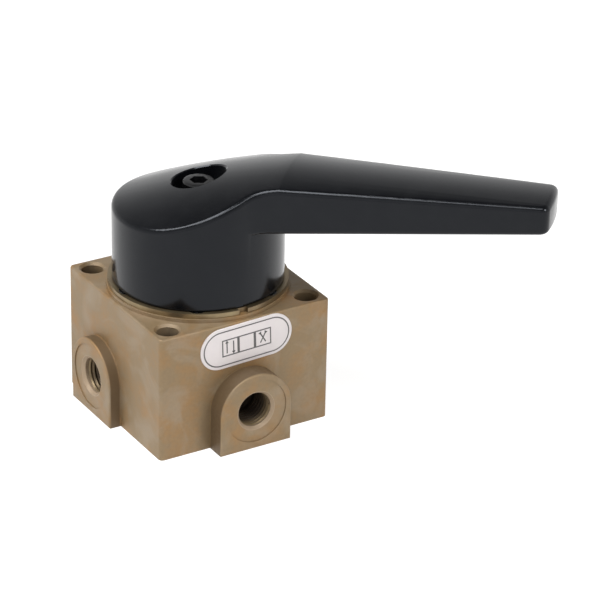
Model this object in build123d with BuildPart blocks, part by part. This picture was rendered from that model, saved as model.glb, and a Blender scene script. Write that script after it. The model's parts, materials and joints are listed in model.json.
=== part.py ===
from build123d import *
from math import asin, cos, degrees, radians, sin, sqrt
import os

# Hand lever rotary disc valve, four ports and three positions.
# Millimetres, +Z up, origin at the centre of the base. The lever rests over the +X-Y corner.

# ---- clearances ----
running_gap = 0.05        # radial, between turning pieces
seat_gap = 0.05           # between pieces that are clamped or pressed together
lapped_gap = 0.02         # between rotor and seat
hub_gap = 0.4             # under the handle's hub

# ---- body ----
body_side = 60.0
body_height = 41.6
body_corner_radius = 1.4
body_edge_radius = 0.7
boss_margin = 0.5         # boss beyond the cover, all round
boss_height = 1.2
bolt_inset = 5.5          # bolt centre to the body's sides
bolt_hole_diameter = 7.0
bolt_hole_chamfer = 0.7

# ---- ports ----
port_height = 13.0
port_thread_diameter = 11.44
port_thread_depth = 12.0
port_mouth_diameter = 13.1
port_pad_radius = 12.5
line_pad_depth = 7.0      # supply and exhaust pads, front and back
outlet_pad_depth = 4.1    # outlet pads, left and right
pad_edge_radius = 0.6
spotface_diameter = 21.2
spotface_depth = 0.3
drilling_diameter = 7.0
seat_hole_diameter = 5.0
supply_hole_diameter = 4.2

# ---- chamber, seat and rotor ----
chamber_wall = 3.8        # chamber to the cover screws' centres
riser_gap = 0.2           # each side of the supply riser, to the chamber and the seat plate
seat_plate_thickness = 3.0
seat_pin_diameter = 2.0
seat_pin_margin = 4.0     # pin centre to the seat plate's rim
seat_pin_depth = 3.0      # in the body
seat_pin_height = 2.2     # in the seat plate
port_seal_land = 0.4      # seat hole to seal groove
port_seal_section = 1.2
port_seal_groove_width = 1.4
rotor_margin = 0.8        # rotor inside the seat plate, all round
rotor_rim = 1.5           # outside the seat holes
rotor_thickness = 7.0
rotor_cavity_depth = 2.6
rotor_slot_depth = 2.6
spring_thickness = 0.9
spring_height = 1.6
spring_margin = 1.8       # spring inside the rotor's rim, all round
spring_clearance = 0.6    # between the spring and the stem's tongue

# ---- stem ----
stem_diameter = 11.96
stem_flange_diameter = 20.0
stem_flange_thickness = 2.3
tongue_length = 10.0
tongue_width = 6.0
square_size = 8.4
square_corner_radius = 0.8
clamp_gap = 1.2           # top of the square to the washer
tapping_allowance = 2.0   # tapped hole beyond the screw
stem_oring_section = 1.86
stem_oring_rise = 0.6     # O-ring's centre above the cover
oring_side_gap = 0.2      # each side of an O-ring in its groove
thrust_washer_thickness = 1.0
bush_wall = 1.5

# ---- cover ----
cover_diameter = 56.8
cover_thickness = 1.6
spigot_depth = 4.5
neck_diameter = 22.0
neck_height = 9.6
cover_oring_section = 1.5
cover_oring_land = 0.75   # spigot's end to the groove
cover_screw_diameter = 3.0
cover_screw_land = 0.1    # cover left under the screw heads
cover_screw_clearance = 0.2
cover_screw_length = 10.0
cover_screw_margin = 3.6  # screw centre to the cover's rim
cover_screw_count = 6
notch_width = 3.0
notch_depth = 1.3
stop_pin_diameter = 3.0
stop_pin_margin = 0.8     # pin to the chamber's wall
stop_pin_height = 9.6     # above the cover
stop_pin_floor = 0.45     # under the pin, to the O-ring groove
stop_pin_chamfer = 0.4

# ---- detent ----
ball_diameter = 5.0
detent_margin = 4.3       # ball centre to the cover screws' heads
track_depth = 1.0
track_clearance = 0.2
pocket_drop = 0.35        # pockets are deeper than the track by this
detent_spring_wire = 0.6
detent_spring_turns = 6
detent_bore_depth = 13.2
detent_boss_wall = 1.75
detent_angle = 70.0       # each side of the lever

# ---- handle ----
lever_direction = -45.0   # at rest, from +X
lever_travel = 90.0
cover_rim = 1.4           # cover beyond the hub, all round
hub_wall = 3.5
hub_depth = 19.2          # hub's lower rim to the hollow's ceiling
handle_height = 33.6      # hub's lower rim to the crown at the axis
crown_radius = 58.0       # across the lever
ramp_angle = 15.9         # slope of the hub's top at the axis
ramp_radius = 280.0       # along the lever
ridge_offset = 1.8        # ridge beyond the hub
lever_rise_angle = 0.64
lever_reach = 111.0       # axis to tip
lever_root_width = 30.2
lever_tip_width = 19.0
lever_root_rise = 23.5    # underside at the ridge, above the hub's lower rim
lever_tip_rise = 31.4     # underside at the tip
root_blend_radius = 10.0
tip_corner_radius = 3.0
tip_bulge = 0.8
top_edge_radius = 2.0
under_edge_radius = 1.5
recess_diameter = 17.0
recess_depth = 9.4
recess_edge_chamfer = 0.4
neck_wall = 2.6           # round the bore for the cover's neck
neck_clearance = 0.6
stop_gap = 0.1
rib_thickness = 3.0
insert_width = 17.0

# ---- handle screw ----
screw_diameter = 6.0
screw_head_diameter = 10.0
screw_head_height = 6.0
screw_length = 16.0
screw_socket = 5.0
screw_socket_depth = 3.0
washer_gap = 0.3          # washer to the recess
washer_thickness = 1.6

# ---- label ----
label_length = 32.3
label_thickness = 0.4
label_gap = 1.6           # above the port's pad

# ---- widths that follow, from the cover inwards ----
half_side = body_side / 2
bolt_spacing = body_side - 2 * bolt_inset
boss_diameter = cover_diameter + 2 * boss_margin
hub_diameter = cover_diameter - 2 * cover_rim
cover_screw_head_diameter = cover_screw_diameter + 2 * (cover_thickness - cover_screw_land)
cover_screw_circle = cover_diameter - 2 * cover_screw_margin
chamber_diameter = cover_screw_circle - 2 * chamber_wall
seat_plate_diameter = chamber_diameter - 2 * supply_hole_diameter - 4 * riser_gap
rotor_diameter = seat_plate_diameter - 2 * rotor_margin
seat_hole_circle = rotor_diameter - 2 * rotor_rim - seat_hole_diameter
seat_pin_circle = seat_plate_diameter - 2 * seat_pin_margin
supply_hole_distance = (chamber_diameter - supply_hole_diameter) / 2 - riser_gap
outlet_offset = seat_hole_circle / 2 * sin(radians(45))
spring_outer_diameter = rotor_diameter - 2 * spring_margin
spring_inner_diameter = sqrt(tongue_length**2 + tongue_width**2) + 2 * spring_clearance
stop_pin_circle = chamber_diameter - 2 * stop_pin_margin - stop_pin_diameter
detent_circle = cover_screw_circle - cover_screw_head_diameter - 2 * detent_margin
washer_diameter = recess_diameter - 2 * washer_gap

# ---- heights that follow, from the cover down to the chamber's floor and up to the crown ----
cover_seat = body_height + boss_height
cover_top = cover_seat + cover_thickness
spigot_bottom = cover_seat - spigot_depth
neck_top = cover_top + neck_height
flange_top = spigot_bottom - thrust_washer_thickness - running_gap
flange_bottom = flange_top - stem_flange_thickness
rotor_top = flange_bottom - spring_height - 2 * seat_gap
rotor_bottom = rotor_top - rotor_thickness
seat_top = rotor_bottom - lapped_gap
chamber_floor = seat_top - seat_plate_thickness
cover_groove_height = spigot_bottom + cover_oring_land + oring_side_gap + cover_oring_section / 2
cover_groove_top = cover_groove_height + cover_oring_section / 2 + oring_side_gap
stop_pin_bottom = cover_groove_top + stop_pin_floor
ball_centre = cover_top - track_depth + running_gap + ball_diameter / 2
hub_bottom = cover_top + hub_gap
hub_ceiling = hub_bottom + hub_depth
crown_height = hub_bottom + handle_height
lever_root_underside = hub_bottom + lever_root_rise
lever_tip_underside = hub_bottom + lever_tip_rise
shoulder = neck_top + neck_clearance
recess_floor = crown_height - recess_depth
square_top = recess_floor - clamp_gap
screw_seat = recess_floor + washer_thickness
label_bottom = port_height + port_pad_radius + label_gap
label_height = body_height - body_edge_radius - label_bottom

# ---- planes ----
lever_plane = Plane(
    origin=(0, 0, 0),
    x_dir=(cos(radians(lever_direction)), sin(radians(lever_direction)), 0),
    z_dir=(0, 0, 1),
)
lever_side = Plane(origin=(0, 0, 0), x_dir=lever_plane.x_dir, z_dir=-lever_plane.y_dir)
front = Plane(origin=(0, -half_side, 0), x_dir=(1, 0, 0), z_dir=(0, -1, 0))
back = Plane(origin=(0, half_side, 0), x_dir=(-1, 0, 0), z_dir=(0, 1, 0))
left = Plane(origin=(-half_side, 0, 0), x_dir=(0, -1, 0), z_dir=(-1, 0, 0))
right = Plane(origin=(half_side, 0, 0), x_dir=(0, 1, 0), z_dir=(1, 0, 0))

# Each port: its face, how far its pad stands out, its place along the face,
# and how far its drilling reaches from the axis plane.
ports = [
    (front, line_pad_depth, 0, supply_hole_distance),
    (back, line_pad_depth, 0, 0),
    (left, outlet_pad_depth, -outlet_offset, outlet_offset),
    (right, outlet_pad_depth, outlet_offset, outlet_offset),
]

os.makedirs("parts", exist_ok=True)


def save(part, label):
    """Label a finished piece and write it as its own STEP file."""
    part.label = label
    export_step(part, f"parts/{label}.step")


# ---- valve body: casting with four ports, chamber and seat drillings ----
outlet_points = [(-outlet_offset, outlet_offset), (outlet_offset, outlet_offset)]
seat_points = outlet_points + [(0, 0)]
seat_pin_offset = seat_pin_circle / 2 * sin(radians(45))
seat_pin_points = [(-seat_pin_offset, -seat_pin_offset), (seat_pin_offset, -seat_pin_offset)]
port_seal_radius = seat_hole_diameter / 2 + port_seal_land + port_seal_groove_width / 2
port_seal_depth = port_seal_section + seat_gap

with BuildPart() as valve_body:
    with BuildSketch():
        RectangleRounded(body_side, body_side, body_corner_radius)
    extrude(amount=body_height)
    fillet(valve_body.faces().sort_by(Axis.Z)[-1].edges(), body_edge_radius)
    for face, pad_depth, across, reach in ports:
        with BuildSketch(face):
            with Locations((across, port_height)):
                Circle(port_pad_radius)
            with Locations((across, 0)):
                Rectangle(2 * port_pad_radius, port_height, align=(Align.CENTER, Align.MIN))
        extrude(amount=pad_depth)
        pad_face = valve_body.faces().sort_by(Axis(face.origin, face.z_dir))[-1]
        fillet(pad_face.edges(), pad_edge_radius)
    with BuildSketch(Plane.XY.offset(body_height)):
        Circle(boss_diameter / 2)
    extrude(amount=boss_height)
    with BuildSketch(Plane.XY.offset(chamber_floor)):
        Circle(chamber_diameter / 2)
    extrude(amount=cover_seat - chamber_floor, mode=Mode.SUBTRACT)
    # threaded mouths, spotfaces and the drillings behind them
    for face, pad_depth, across, reach in ports:
        mouth = face.offset(pad_depth)
        with BuildSketch(mouth):
            with Locations((across, port_height)):
                Circle(spotface_diameter / 2)
        extrude(amount=-spotface_depth, mode=Mode.SUBTRACT)
        with Locations(mouth.offset(-spotface_depth)):
            with Locations((across, port_height)):
                CounterSinkHole(
                    port_thread_diameter / 2, port_mouth_diameter / 2, port_thread_depth
                )
        with BuildSketch(mouth):
            with Locations((across, port_height)):
                Circle(drilling_diameter / 2)
        extrude(amount=reach - half_side - pad_depth, mode=Mode.SUBTRACT)
    # risers from the drillings to the seat, and the supply riser beside the seat plate
    with BuildSketch(Plane.XY.offset(port_height)):
        with Locations(*seat_points):
            Circle(seat_hole_diameter / 2)
        with Locations((0, -supply_hole_distance)):
            Circle(supply_hole_diameter / 2)
    extrude(amount=chamber_floor - port_height, mode=Mode.SUBTRACT)
    # seal grooves and pin holes in the chamber floor
    with BuildSketch(Plane.XY.offset(chamber_floor)):
        with Locations(*seat_points):
            Circle(port_seal_radius + port_seal_groove_width / 2)
            Circle(port_seal_radius - port_seal_groove_width / 2, mode=Mode.SUBTRACT)
    extrude(amount=-port_seal_depth, mode=Mode.SUBTRACT)
    with BuildSketch(Plane.XY.offset(chamber_floor)):
        with Locations(*seat_pin_points):
            Circle(seat_pin_diameter / 2 + seat_gap)
    extrude(amount=-seat_pin_depth, mode=Mode.SUBTRACT)
    # tapped holes for the cover
    with BuildSketch(Plane.XY.offset(cover_seat)):
        with PolarLocations(cover_screw_circle / 2, cover_screw_count):
            Circle(cover_screw_diameter / 2 + seat_gap)
    extrude(amount=-cover_screw_length, mode=Mode.SUBTRACT)
    # corner bolt holes, chamfered at the top
    with Locations(Plane.XY.offset(body_height)):
        with GridLocations(bolt_spacing, bolt_spacing, 2, 2):
            CounterSinkHole(bolt_hole_diameter / 2, bolt_hole_diameter / 2 + bolt_hole_chamfer)
save(valve_body.part, "valve_body")

# ---- seat plate and its pins and seals ----
with BuildPart() as seat_plate:
    with BuildSketch(Plane.XY.offset(chamber_floor)):
        Circle(seat_plate_diameter / 2)
        with Locations(*seat_points):
            Circle(seat_hole_diameter / 2, mode=Mode.SUBTRACT)
    extrude(amount=seat_plate_thickness)
    with BuildSketch(Plane.XY.offset(chamber_floor)):
        with Locations(*seat_pin_points):
            Circle(seat_pin_diameter / 2 + seat_gap)
    extrude(amount=seat_pin_height, mode=Mode.SUBTRACT)
save(seat_plate.part, "seat_plate")

with BuildPart() as seat_pins:
    with BuildSketch(Plane.XY.offset(chamber_floor - seat_pin_depth + seat_gap)):
        with Locations(*seat_pin_points):
            Circle(seat_pin_diameter / 2)
    extrude(amount=seat_pin_depth + seat_pin_height - 2 * seat_gap)
save(seat_pins.part, "seat_pins")

with BuildPart() as port_seals:
    with Locations(Plane.XY.offset(chamber_floor - port_seal_section / 2)):
        with Locations(*seat_points):
            Torus(port_seal_radius, port_seal_section / 2)
save(port_seals.part, "port_seals")

# ---- rotor: pressure notch open to the rim, exhaust cavity from the centre to a half-circle slot ----
with BuildPart() as rotor_disc:
    with BuildSketch(lever_plane.offset(rotor_bottom)):
        Circle(rotor_diameter / 2)
        with Locations((-seat_hole_circle / 2, 0)):
            Circle(seat_hole_diameter / 2, mode=Mode.SUBTRACT)
            Rectangle(
                seat_hole_circle / 2,
                seat_hole_diameter,
                align=(Align.MAX, Align.CENTER),
                mode=Mode.SUBTRACT,
            )
    extrude(amount=rotor_thickness)
    with BuildSketch(lever_plane.offset(rotor_bottom)):
        SlotArc(
            arc=CenterArc((0, 0), seat_hole_circle / 2, -90, 180, mode=Mode.PRIVATE),
            height=seat_hole_diameter,
        )
        with Locations((seat_hole_circle / 4, 0)):
            SlotCenterToCenter(seat_hole_circle / 2, seat_hole_diameter)
    extrude(amount=rotor_cavity_depth, mode=Mode.SUBTRACT)
    with BuildSketch(lever_plane.offset(rotor_top)):
        Rectangle(tongue_length + 4 * seat_gap, tongue_width + 4 * seat_gap)
    extrude(amount=-rotor_slot_depth, mode=Mode.SUBTRACT)
save(rotor_disc.part, "rotor_disc")

# ---- coned disc spring between rotor and stem flange ----
with BuildPart() as rotor_spring:
    with BuildSketch(Plane.XZ):
        with BuildLine():
            Polyline(
                (spring_outer_diameter / 2, rotor_top + seat_gap),
                (spring_outer_diameter / 2, rotor_top + seat_gap + spring_thickness),
                (spring_inner_diameter / 2, rotor_top + seat_gap + spring_height),
                (spring_inner_diameter / 2, rotor_top + seat_gap + spring_height - spring_thickness),
                close=True,
            )
        make_face()
    revolve(axis=Axis.Z)
save(rotor_spring.part, "rotor_spring")

# ---- stem: tongue, flange, journal with O-ring groove, square and tapped hole ----
stem_radius = stem_diameter / 2
stem_oring_height = cover_top + stem_oring_rise
stem_oring_radius = stem_radius - stem_oring_section / 2
with BuildPart() as stem:
    with BuildSketch(lever_plane.offset(flange_bottom)):
        Rectangle(tongue_length, tongue_width)
    extrude(amount=-(flange_bottom - rotor_top + rotor_slot_depth - 4 * seat_gap))
    with BuildSketch(Plane.XY.offset(flange_bottom)):
        Circle(stem_flange_diameter / 2)
    extrude(amount=stem_flange_thickness)
    with BuildSketch(Plane.XY.offset(flange_top)):
        Circle(stem_radius)
    extrude(amount=shoulder - flange_top)
    with BuildSketch(lever_plane.offset(shoulder)):
        RectangleRounded(square_size, square_size, square_corner_radius)
    extrude(amount=square_top - shoulder)
    chamfer(stem.faces().sort_by(Axis.Z)[-1].edges(), square_corner_radius / 2)
    with BuildSketch(Plane.XY.offset(stem_oring_height)):
        Circle(stem_radius)
        Circle(stem_radius - stem_oring_section, mode=Mode.SUBTRACT)
    extrude(amount=stem_oring_section / 2 + oring_side_gap, both=True, mode=Mode.SUBTRACT)
    with BuildSketch(Plane.XY.offset(square_top)):
        Circle(screw_diameter / 2 + seat_gap)
    extrude(amount=screw_seat - screw_length - tapping_allowance - square_top, mode=Mode.SUBTRACT)
save(stem.part, "stem")

with BuildPart(Plane.XY.offset(stem_oring_height)) as stem_oring:
    Torus(stem_oring_radius, stem_oring_section / 2)
save(stem_oring.part, "stem_oring")

with BuildPart() as thrust_washer:
    with BuildSketch(Plane.XY.offset(spigot_bottom - thrust_washer_thickness)):
        Circle(stem_flange_diameter / 2)
        Circle(stem_radius + 4 * running_gap, mode=Mode.SUBTRACT)
    extrude(amount=thrust_washer_thickness)
save(thrust_washer.part, "thrust_washer")

bush_bore_radius = stem_radius + running_gap
bush_outer_radius = bush_bore_radius + bush_wall
with BuildPart() as stem_bush:
    with BuildSketch(Plane.XY.offset(spigot_bottom)):
        Circle(bush_outer_radius)
        Circle(bush_bore_radius, mode=Mode.SUBTRACT)
    extrude(amount=neck_top - spigot_bottom)
save(stem_bush.part, "stem_bush")

# ---- cover: flange with index notch, spigot, neck, screw holes, detent tracks ----
spigot_radius = chamber_diameter / 2 - seat_gap
detent_radius = detent_circle / 2
track_radius = ball_diameter / 2 + track_clearance
track_centre = cover_top - track_depth + track_radius
detent_steps = [0, -lever_travel / 2, -lever_travel]
centre_direction = lever_direction - lever_travel / 2
stop_pin_angle = centre_direction + 180
ball_angles = [lever_direction + detent_angle, lever_direction - detent_angle]


def on_detent_circle(angle):
    """Point on the detent circle at an angle from +X."""
    return detent_radius * cos(radians(angle)), detent_radius * sin(radians(angle))


with BuildPart() as cover:
    with BuildSketch(Plane.XY.offset(cover_seat)):
        Circle(cover_diameter / 2)
        with PolarLocations(cover_diameter / 2, 1, start_angle=centre_direction):
            Rectangle(2 * notch_depth, notch_width, mode=Mode.SUBTRACT)
    extrude(amount=cover_thickness)
    with BuildSketch(Plane.XY.offset(cover_seat)):
        Circle(spigot_radius)
    extrude(amount=-spigot_depth)
    with BuildSketch(Plane.XY.offset(cover_top)):
        Circle(neck_diameter / 2)
    extrude(amount=neck_height)
    with BuildSketch(Plane.XY.offset(spigot_bottom)):
        Circle(bush_outer_radius + seat_gap)
    extrude(amount=neck_top - spigot_bottom, mode=Mode.SUBTRACT)
    with BuildSketch(Plane.XY.offset(cover_groove_height)):
        Circle(spigot_radius)
        Circle(spigot_radius - cover_oring_section, mode=Mode.SUBTRACT)
    extrude(amount=cover_oring_section / 2 + oring_side_gap, both=True, mode=Mode.SUBTRACT)
    with Locations(Plane.XY.offset(cover_top)):
        with PolarLocations(cover_screw_circle / 2, cover_screw_count):
            CounterSinkHole(
                cover_screw_diameter / 2 + cover_screw_clearance,
                cover_screw_head_diameter / 2,
                cover_thickness,
            )
    for ball_angle in ball_angles:
        track_plane = Plane(
            origin=(0, 0, 0),
            x_dir=(cos(radians(ball_angle)), sin(radians(ball_angle)), 0),
            z_dir=(sin(radians(ball_angle)), -cos(radians(ball_angle)), 0),
        )
        with BuildSketch(track_plane):
            with Locations((detent_radius, track_centre)):
                Circle(track_radius)
        revolve(axis=Axis.Z, revolution_arc=-lever_travel, mode=Mode.SUBTRACT)
        for step in detent_steps:
            x, y = on_detent_circle(ball_angle + step)
            with Locations((x, y, track_centre - pocket_drop)):
                Sphere(track_radius, mode=Mode.SUBTRACT)
    with BuildSketch(Plane.XY.offset(cover_top)):
        with PolarLocations(stop_pin_circle / 2, 1, start_angle=stop_pin_angle):
            Circle(stop_pin_diameter / 2 + seat_gap)
    extrude(amount=stop_pin_bottom - cover_top, mode=Mode.SUBTRACT)
save(cover.part, "cover")

with BuildPart(Plane.XY.offset(cover_groove_height)) as cover_oring:
    Torus(spigot_radius - cover_oring_section / 2, cover_oring_section / 2)
save(cover_oring.part, "cover_oring")

with BuildPart(Plane.XY.offset(cover_top)) as cover_screws:
    with PolarLocations(cover_screw_circle / 2, cover_screw_count):
        Cone(
            cover_screw_diameter / 2 - seat_gap,
            cover_screw_head_diameter / 2 - seat_gap,
            cover_thickness - cover_screw_land,
            align=(Align.CENTER, Align.CENTER, Align.MAX),
        )
        Cylinder(
            cover_screw_diameter / 2,
            cover_screw_length,
            align=(Align.CENTER, Align.CENTER, Align.MAX),
        )
save(cover_screws.part, "cover_screws")

with BuildPart() as stop_pin:
    with BuildSketch(Plane.XY.offset(stop_pin_bottom)):
        with PolarLocations(stop_pin_circle / 2, 1, start_angle=stop_pin_angle):
            Circle(stop_pin_diameter / 2)
    extrude(amount=cover_top + stop_pin_height - stop_pin_bottom)
    chamfer(stop_pin.faces().sort_by(Axis.Z)[-1].edges(), stop_pin_chamfer)
save(stop_pin.part, "stop_pin")

# ---- detent balls and their springs, one on each side of the lever ----
detent_bore_top = hub_bottom + detent_bore_depth
spring_bottom = ball_centre + ball_diameter / 2 + seat_gap
spring_radius = (ball_diameter - 2 * detent_spring_wire) / 2
for side, ball_angle in zip(("left", "right"), ball_angles):
    x, y = on_detent_circle(ball_angle)
    with BuildPart(Plane((x, y, ball_centre))) as detent_ball:
        Sphere(ball_diameter / 2)
    save(detent_ball.part, f"detent_ball_{side}")
    coil_base = Plane((x, y, spring_bottom + detent_spring_wire / 2))
    coil_height = detent_bore_top - spring_bottom - detent_spring_wire - seat_gap
    with BuildPart(coil_base) as detent_spring:
        with BuildLine(coil_base) as coil:
            Helix(coil_height / detent_spring_turns, coil_height, spring_radius)
        with BuildSketch(Plane(coil.line @ 0, z_dir=coil.line % 0)):
            RegularPolygon(detent_spring_wire / 2, 8)
        sweep(is_frenet=True)
    save(detent_spring.part, f"detent_spring_{side}")

# ---- handle: round hub and tapered lever under a crowned top, ribbed underneath ----
hub_radius = hub_diameter / 2
ridge_distance = hub_radius + ridge_offset
tip_distance = lever_reach - tip_bulge
lever_length = tip_distance - ridge_distance
side_taper = (lever_root_width - lever_tip_width) / lever_length
under_slope = (lever_tip_underside - lever_root_underside) / lever_length
bore_radius = neck_diameter / 2 + neck_clearance
sleeve_radius = bore_radius + neck_wall
top_stock = crown_height + hub_radius     # above every point of the handle

across = lever_plane.y_dir
ramp_plane = Plane(
    origin=(0, 0, crown_height),
    x_dir=across,
    z_dir=lever_plane.x_dir * cos(radians(ramp_angle)) + Vector(0, 0, sin(radians(ramp_angle))),
)
ramp_centre = ramp_plane.from_local_coords((0, -ramp_radius, 0))
ridge_run = ridge_distance - ramp_radius * sin(radians(ramp_angle))
ridge_height = ramp_centre.Z + sqrt(ramp_radius**2 - ridge_run**2)
ridge_point = lever_plane.from_local_coords((ridge_distance, 0, ridge_height))
lever_top_plane = Plane(
    origin=ridge_point,
    x_dir=across,
    z_dir=lever_plane.x_dir * cos(radians(lever_rise_angle))
    + Vector(0, 0, sin(radians(lever_rise_angle))),
)


def underside(distance):
    """Height of the lever's underside at a distance from the axis."""
    return lever_root_underside + under_slope * (distance - ridge_distance)


def half_width(distance):
    """Half the lever's width at a distance from the axis."""
    return (lever_root_width - side_taper * (distance - ridge_distance)) / 2


rib_reach = stop_pin_circle / 2
stop_offset = degrees(asin((stop_pin_diameter / 2 + rib_thickness / 2 + stop_gap) / rib_reach))
stop_rib_angle = 180 - lever_travel / 2 - stop_offset
rib_angles = [0, detent_angle, -detent_angle, stop_rib_angle, -stop_rib_angle]
detent_bore_radius = ball_diameter / 2 + 2 * running_gap
detent_points = [
    (detent_radius * cos(radians(angle)), detent_radius * sin(radians(angle)))
    for angle in (detent_angle, -detent_angle)
]
under_point = lever_plane.from_local_coords((lever_reach / 2, 0, underside(lever_reach / 2)))

with BuildPart() as handle:
    with BuildSketch(lever_plane.offset(hub_bottom)) as plan:
        Circle(hub_radius)
        with BuildLine():
            Polyline(
                (tip_distance, half_width(tip_distance)),
                (0, half_width(0)),
                (0, -half_width(0)),
                (tip_distance, -half_width(tip_distance)),
            )
            ThreePointArc(
                (tip_distance, half_width(tip_distance)),
                (lever_reach, 0),
                (tip_distance, -half_width(tip_distance)),
            )
        make_face()
        fillet(plan.vertices().group_by(Axis.X)[0], root_blend_radius)
        fillet(plan.vertices().group_by(Axis.X)[-1], tip_corner_radius)
    extrude(amount=top_stock - hub_bottom)
    # crowned top: an arched ramp over the hub and a straight crown along the lever meet at a ridge
    with BuildSketch(ramp_plane):
        with Locations((0, crown_radius - 2 * ramp_radius)):
            Circle(crown_radius)
    revolve(axis=Axis(ramp_centre, across), mode=Mode.INTERSECT)
    with BuildSketch(lever_top_plane):
        with Locations((0, -crown_radius)):
            Circle(crown_radius)
    extrude(amount=2 * lever_reach, both=True, mode=Mode.INTERSECT)
    # rising underside, cut clear of the hub, which is then filled in again
    with BuildSketch(lever_side):
        with BuildLine():
            Polyline(
                (0, hub_bottom),
                (2 * lever_reach, hub_bottom),
                (2 * lever_reach, underside(2 * lever_reach)),
                (0, underside(0)),
                close=True,
            )
        make_face()
    extrude(amount=hub_diameter, both=True, mode=Mode.SUBTRACT)
    with BuildSketch(lever_plane.offset(hub_bottom)):
        Circle(hub_radius)
    extrude(amount=underside(hub_radius) - hub_bottom)
    crown_faces = handle.faces().filter_by(GeomType.TORUS) + handle.faces().sort_by(Axis.Z)[-1:]
    ridge = crown_faces.edges().sort_by_distance(ridge_point)[:1]
    rim = [edge for edge in crown_faces.edges() if edge.distance_to(ridge_point) > lever_tip_width / 2]
    fillet(ridge + rim, top_edge_radius)
    # round the lever's lower edges from the end of the root blends to the tip
    under_face = handle.faces().filter_by(GeomType.PLANE).sort_by_distance(under_point)[0]
    lever_axis = Axis((0, 0, 0), lever_plane.x_dir)
    under_edges = under_face.edges().filter_by_position(lever_axis, hub_radius, lever_reach)
    fillet(under_edges, under_edge_radius)
    # recess for the screw, hexagon hole for the insert, bore for the cover's neck
    with BuildSketch(Plane.XY.offset(recess_floor)):
        Circle(recess_diameter / 2)
    extrude(amount=top_stock - recess_floor, mode=Mode.SUBTRACT)
    recess_edge = handle.edges().filter_by(GeomType.BSPLINE).sort_by_distance((0, 0, crown_height))[0]
    chamfer(recess_edge, recess_edge_chamfer)
    with BuildSketch(lever_plane.offset(shoulder)):
        RegularPolygon(insert_width / 2 + seat_gap, 6, major_radius=False)
    extrude(amount=recess_floor - shoulder, mode=Mode.SUBTRACT)
    with BuildSketch(Plane.XY.offset(hub_bottom)):
        Circle(bore_radius)
    extrude(amount=shoulder - hub_bottom, mode=Mode.SUBTRACT)
    # ribbed hollow under the hub, with detent bosses and two ribs that meet the stop pin
    with BuildSketch(lever_plane.offset(hub_bottom)):
        Circle(hub_radius - hub_wall)
        Circle(sleeve_radius, mode=Mode.SUBTRACT)
        for angle in rib_angles:
            Rectangle(
                hub_radius,
                rib_thickness,
                rotation=angle,
                align=(Align.MIN, Align.CENTER),
                mode=Mode.SUBTRACT,
            )
        with Locations(*detent_points):
            Circle(detent_bore_radius + detent_boss_wall, mode=Mode.SUBTRACT)
    extrude(amount=hub_ceiling - hub_bottom, mode=Mode.SUBTRACT)
    with BuildSketch(lever_plane.offset(hub_bottom)):
        with Locations(*detent_points):
            Circle(detent_bore_radius)
    extrude(amount=detent_bore_depth, mode=Mode.SUBTRACT)
save(handle.part, "handle")

# ---- steel insert with the square hole that turns the stem ----
with BuildPart() as drive_insert:
    with BuildSketch(lever_plane.offset(shoulder)):
        RegularPolygon(insert_width / 2, 6, major_radius=False)
        RectangleRounded(
            square_size + 2 * seat_gap,
            square_size + 2 * seat_gap,
            square_corner_radius,
            mode=Mode.SUBTRACT,
        )
    extrude(amount=recess_floor - shoulder)
save(drive_insert.part, "drive_insert")

# ---- washer and socket head screw that clamp the handle to the stem ----
with BuildPart() as handle_washer:
    with BuildSketch(Plane.XY.offset(recess_floor)):
        Circle(washer_diameter / 2)
        Circle(screw_diameter / 2 + 4 * seat_gap, mode=Mode.SUBTRACT)
    extrude(amount=washer_thickness)
save(handle_washer.part, "handle_washer")

with BuildPart() as handle_screw:
    with BuildSketch(Plane.XY.offset(screw_seat)):
        Circle(screw_head_diameter / 2)
    extrude(amount=screw_head_height)
    fillet(handle_screw.faces().sort_by(Axis.Z)[-1].edges(), screw_diameter / 10)
    with BuildSketch(Plane.XY.offset(screw_seat + screw_head_height)):
        RegularPolygon(screw_socket / 2, 6, major_radius=False)
    extrude(amount=-screw_socket_depth, mode=Mode.SUBTRACT)
    with BuildSketch(Plane.XY.offset(screw_seat)):
        Circle(screw_diameter / 2)
    extrude(amount=-screw_length)
save(handle_screw.part, "handle_screw")

# ---- label above the front port ----
with BuildPart() as label_plate:
    with BuildSketch(front):
        with Locations((0, label_bottom + label_height / 2)):
            SlotOverall(label_length, label_height)
    extrude(amount=label_thickness)
save(label_plate.part, "label_plate")
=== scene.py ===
"""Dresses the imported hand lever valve: finishes, port threads, label, clamp screw and a pale
studio."""

import json
import math

import bmesh
import bpy
from bpy.props import FloatProperty, FloatVectorProperty, IntProperty, PointerProperty
from mathutils import Matrix, Vector


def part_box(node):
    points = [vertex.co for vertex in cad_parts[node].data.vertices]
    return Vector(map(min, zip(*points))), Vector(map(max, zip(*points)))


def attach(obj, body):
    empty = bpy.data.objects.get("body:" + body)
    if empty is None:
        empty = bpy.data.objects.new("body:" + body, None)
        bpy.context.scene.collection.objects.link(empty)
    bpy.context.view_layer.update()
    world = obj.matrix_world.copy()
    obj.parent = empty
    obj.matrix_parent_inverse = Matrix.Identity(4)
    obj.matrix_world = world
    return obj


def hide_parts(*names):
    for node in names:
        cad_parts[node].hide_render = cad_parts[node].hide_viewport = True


bl_info = {
    "name": "Hand Lever Valve",
    "version": (1, 0, 0),
    "blender": (4, 5, 0),
    "location": "3D View > Sidebar > Valve",
    "description": "Finishes and fine parts for a hand lever rotary valve",
    "category": "Object",
}

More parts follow.
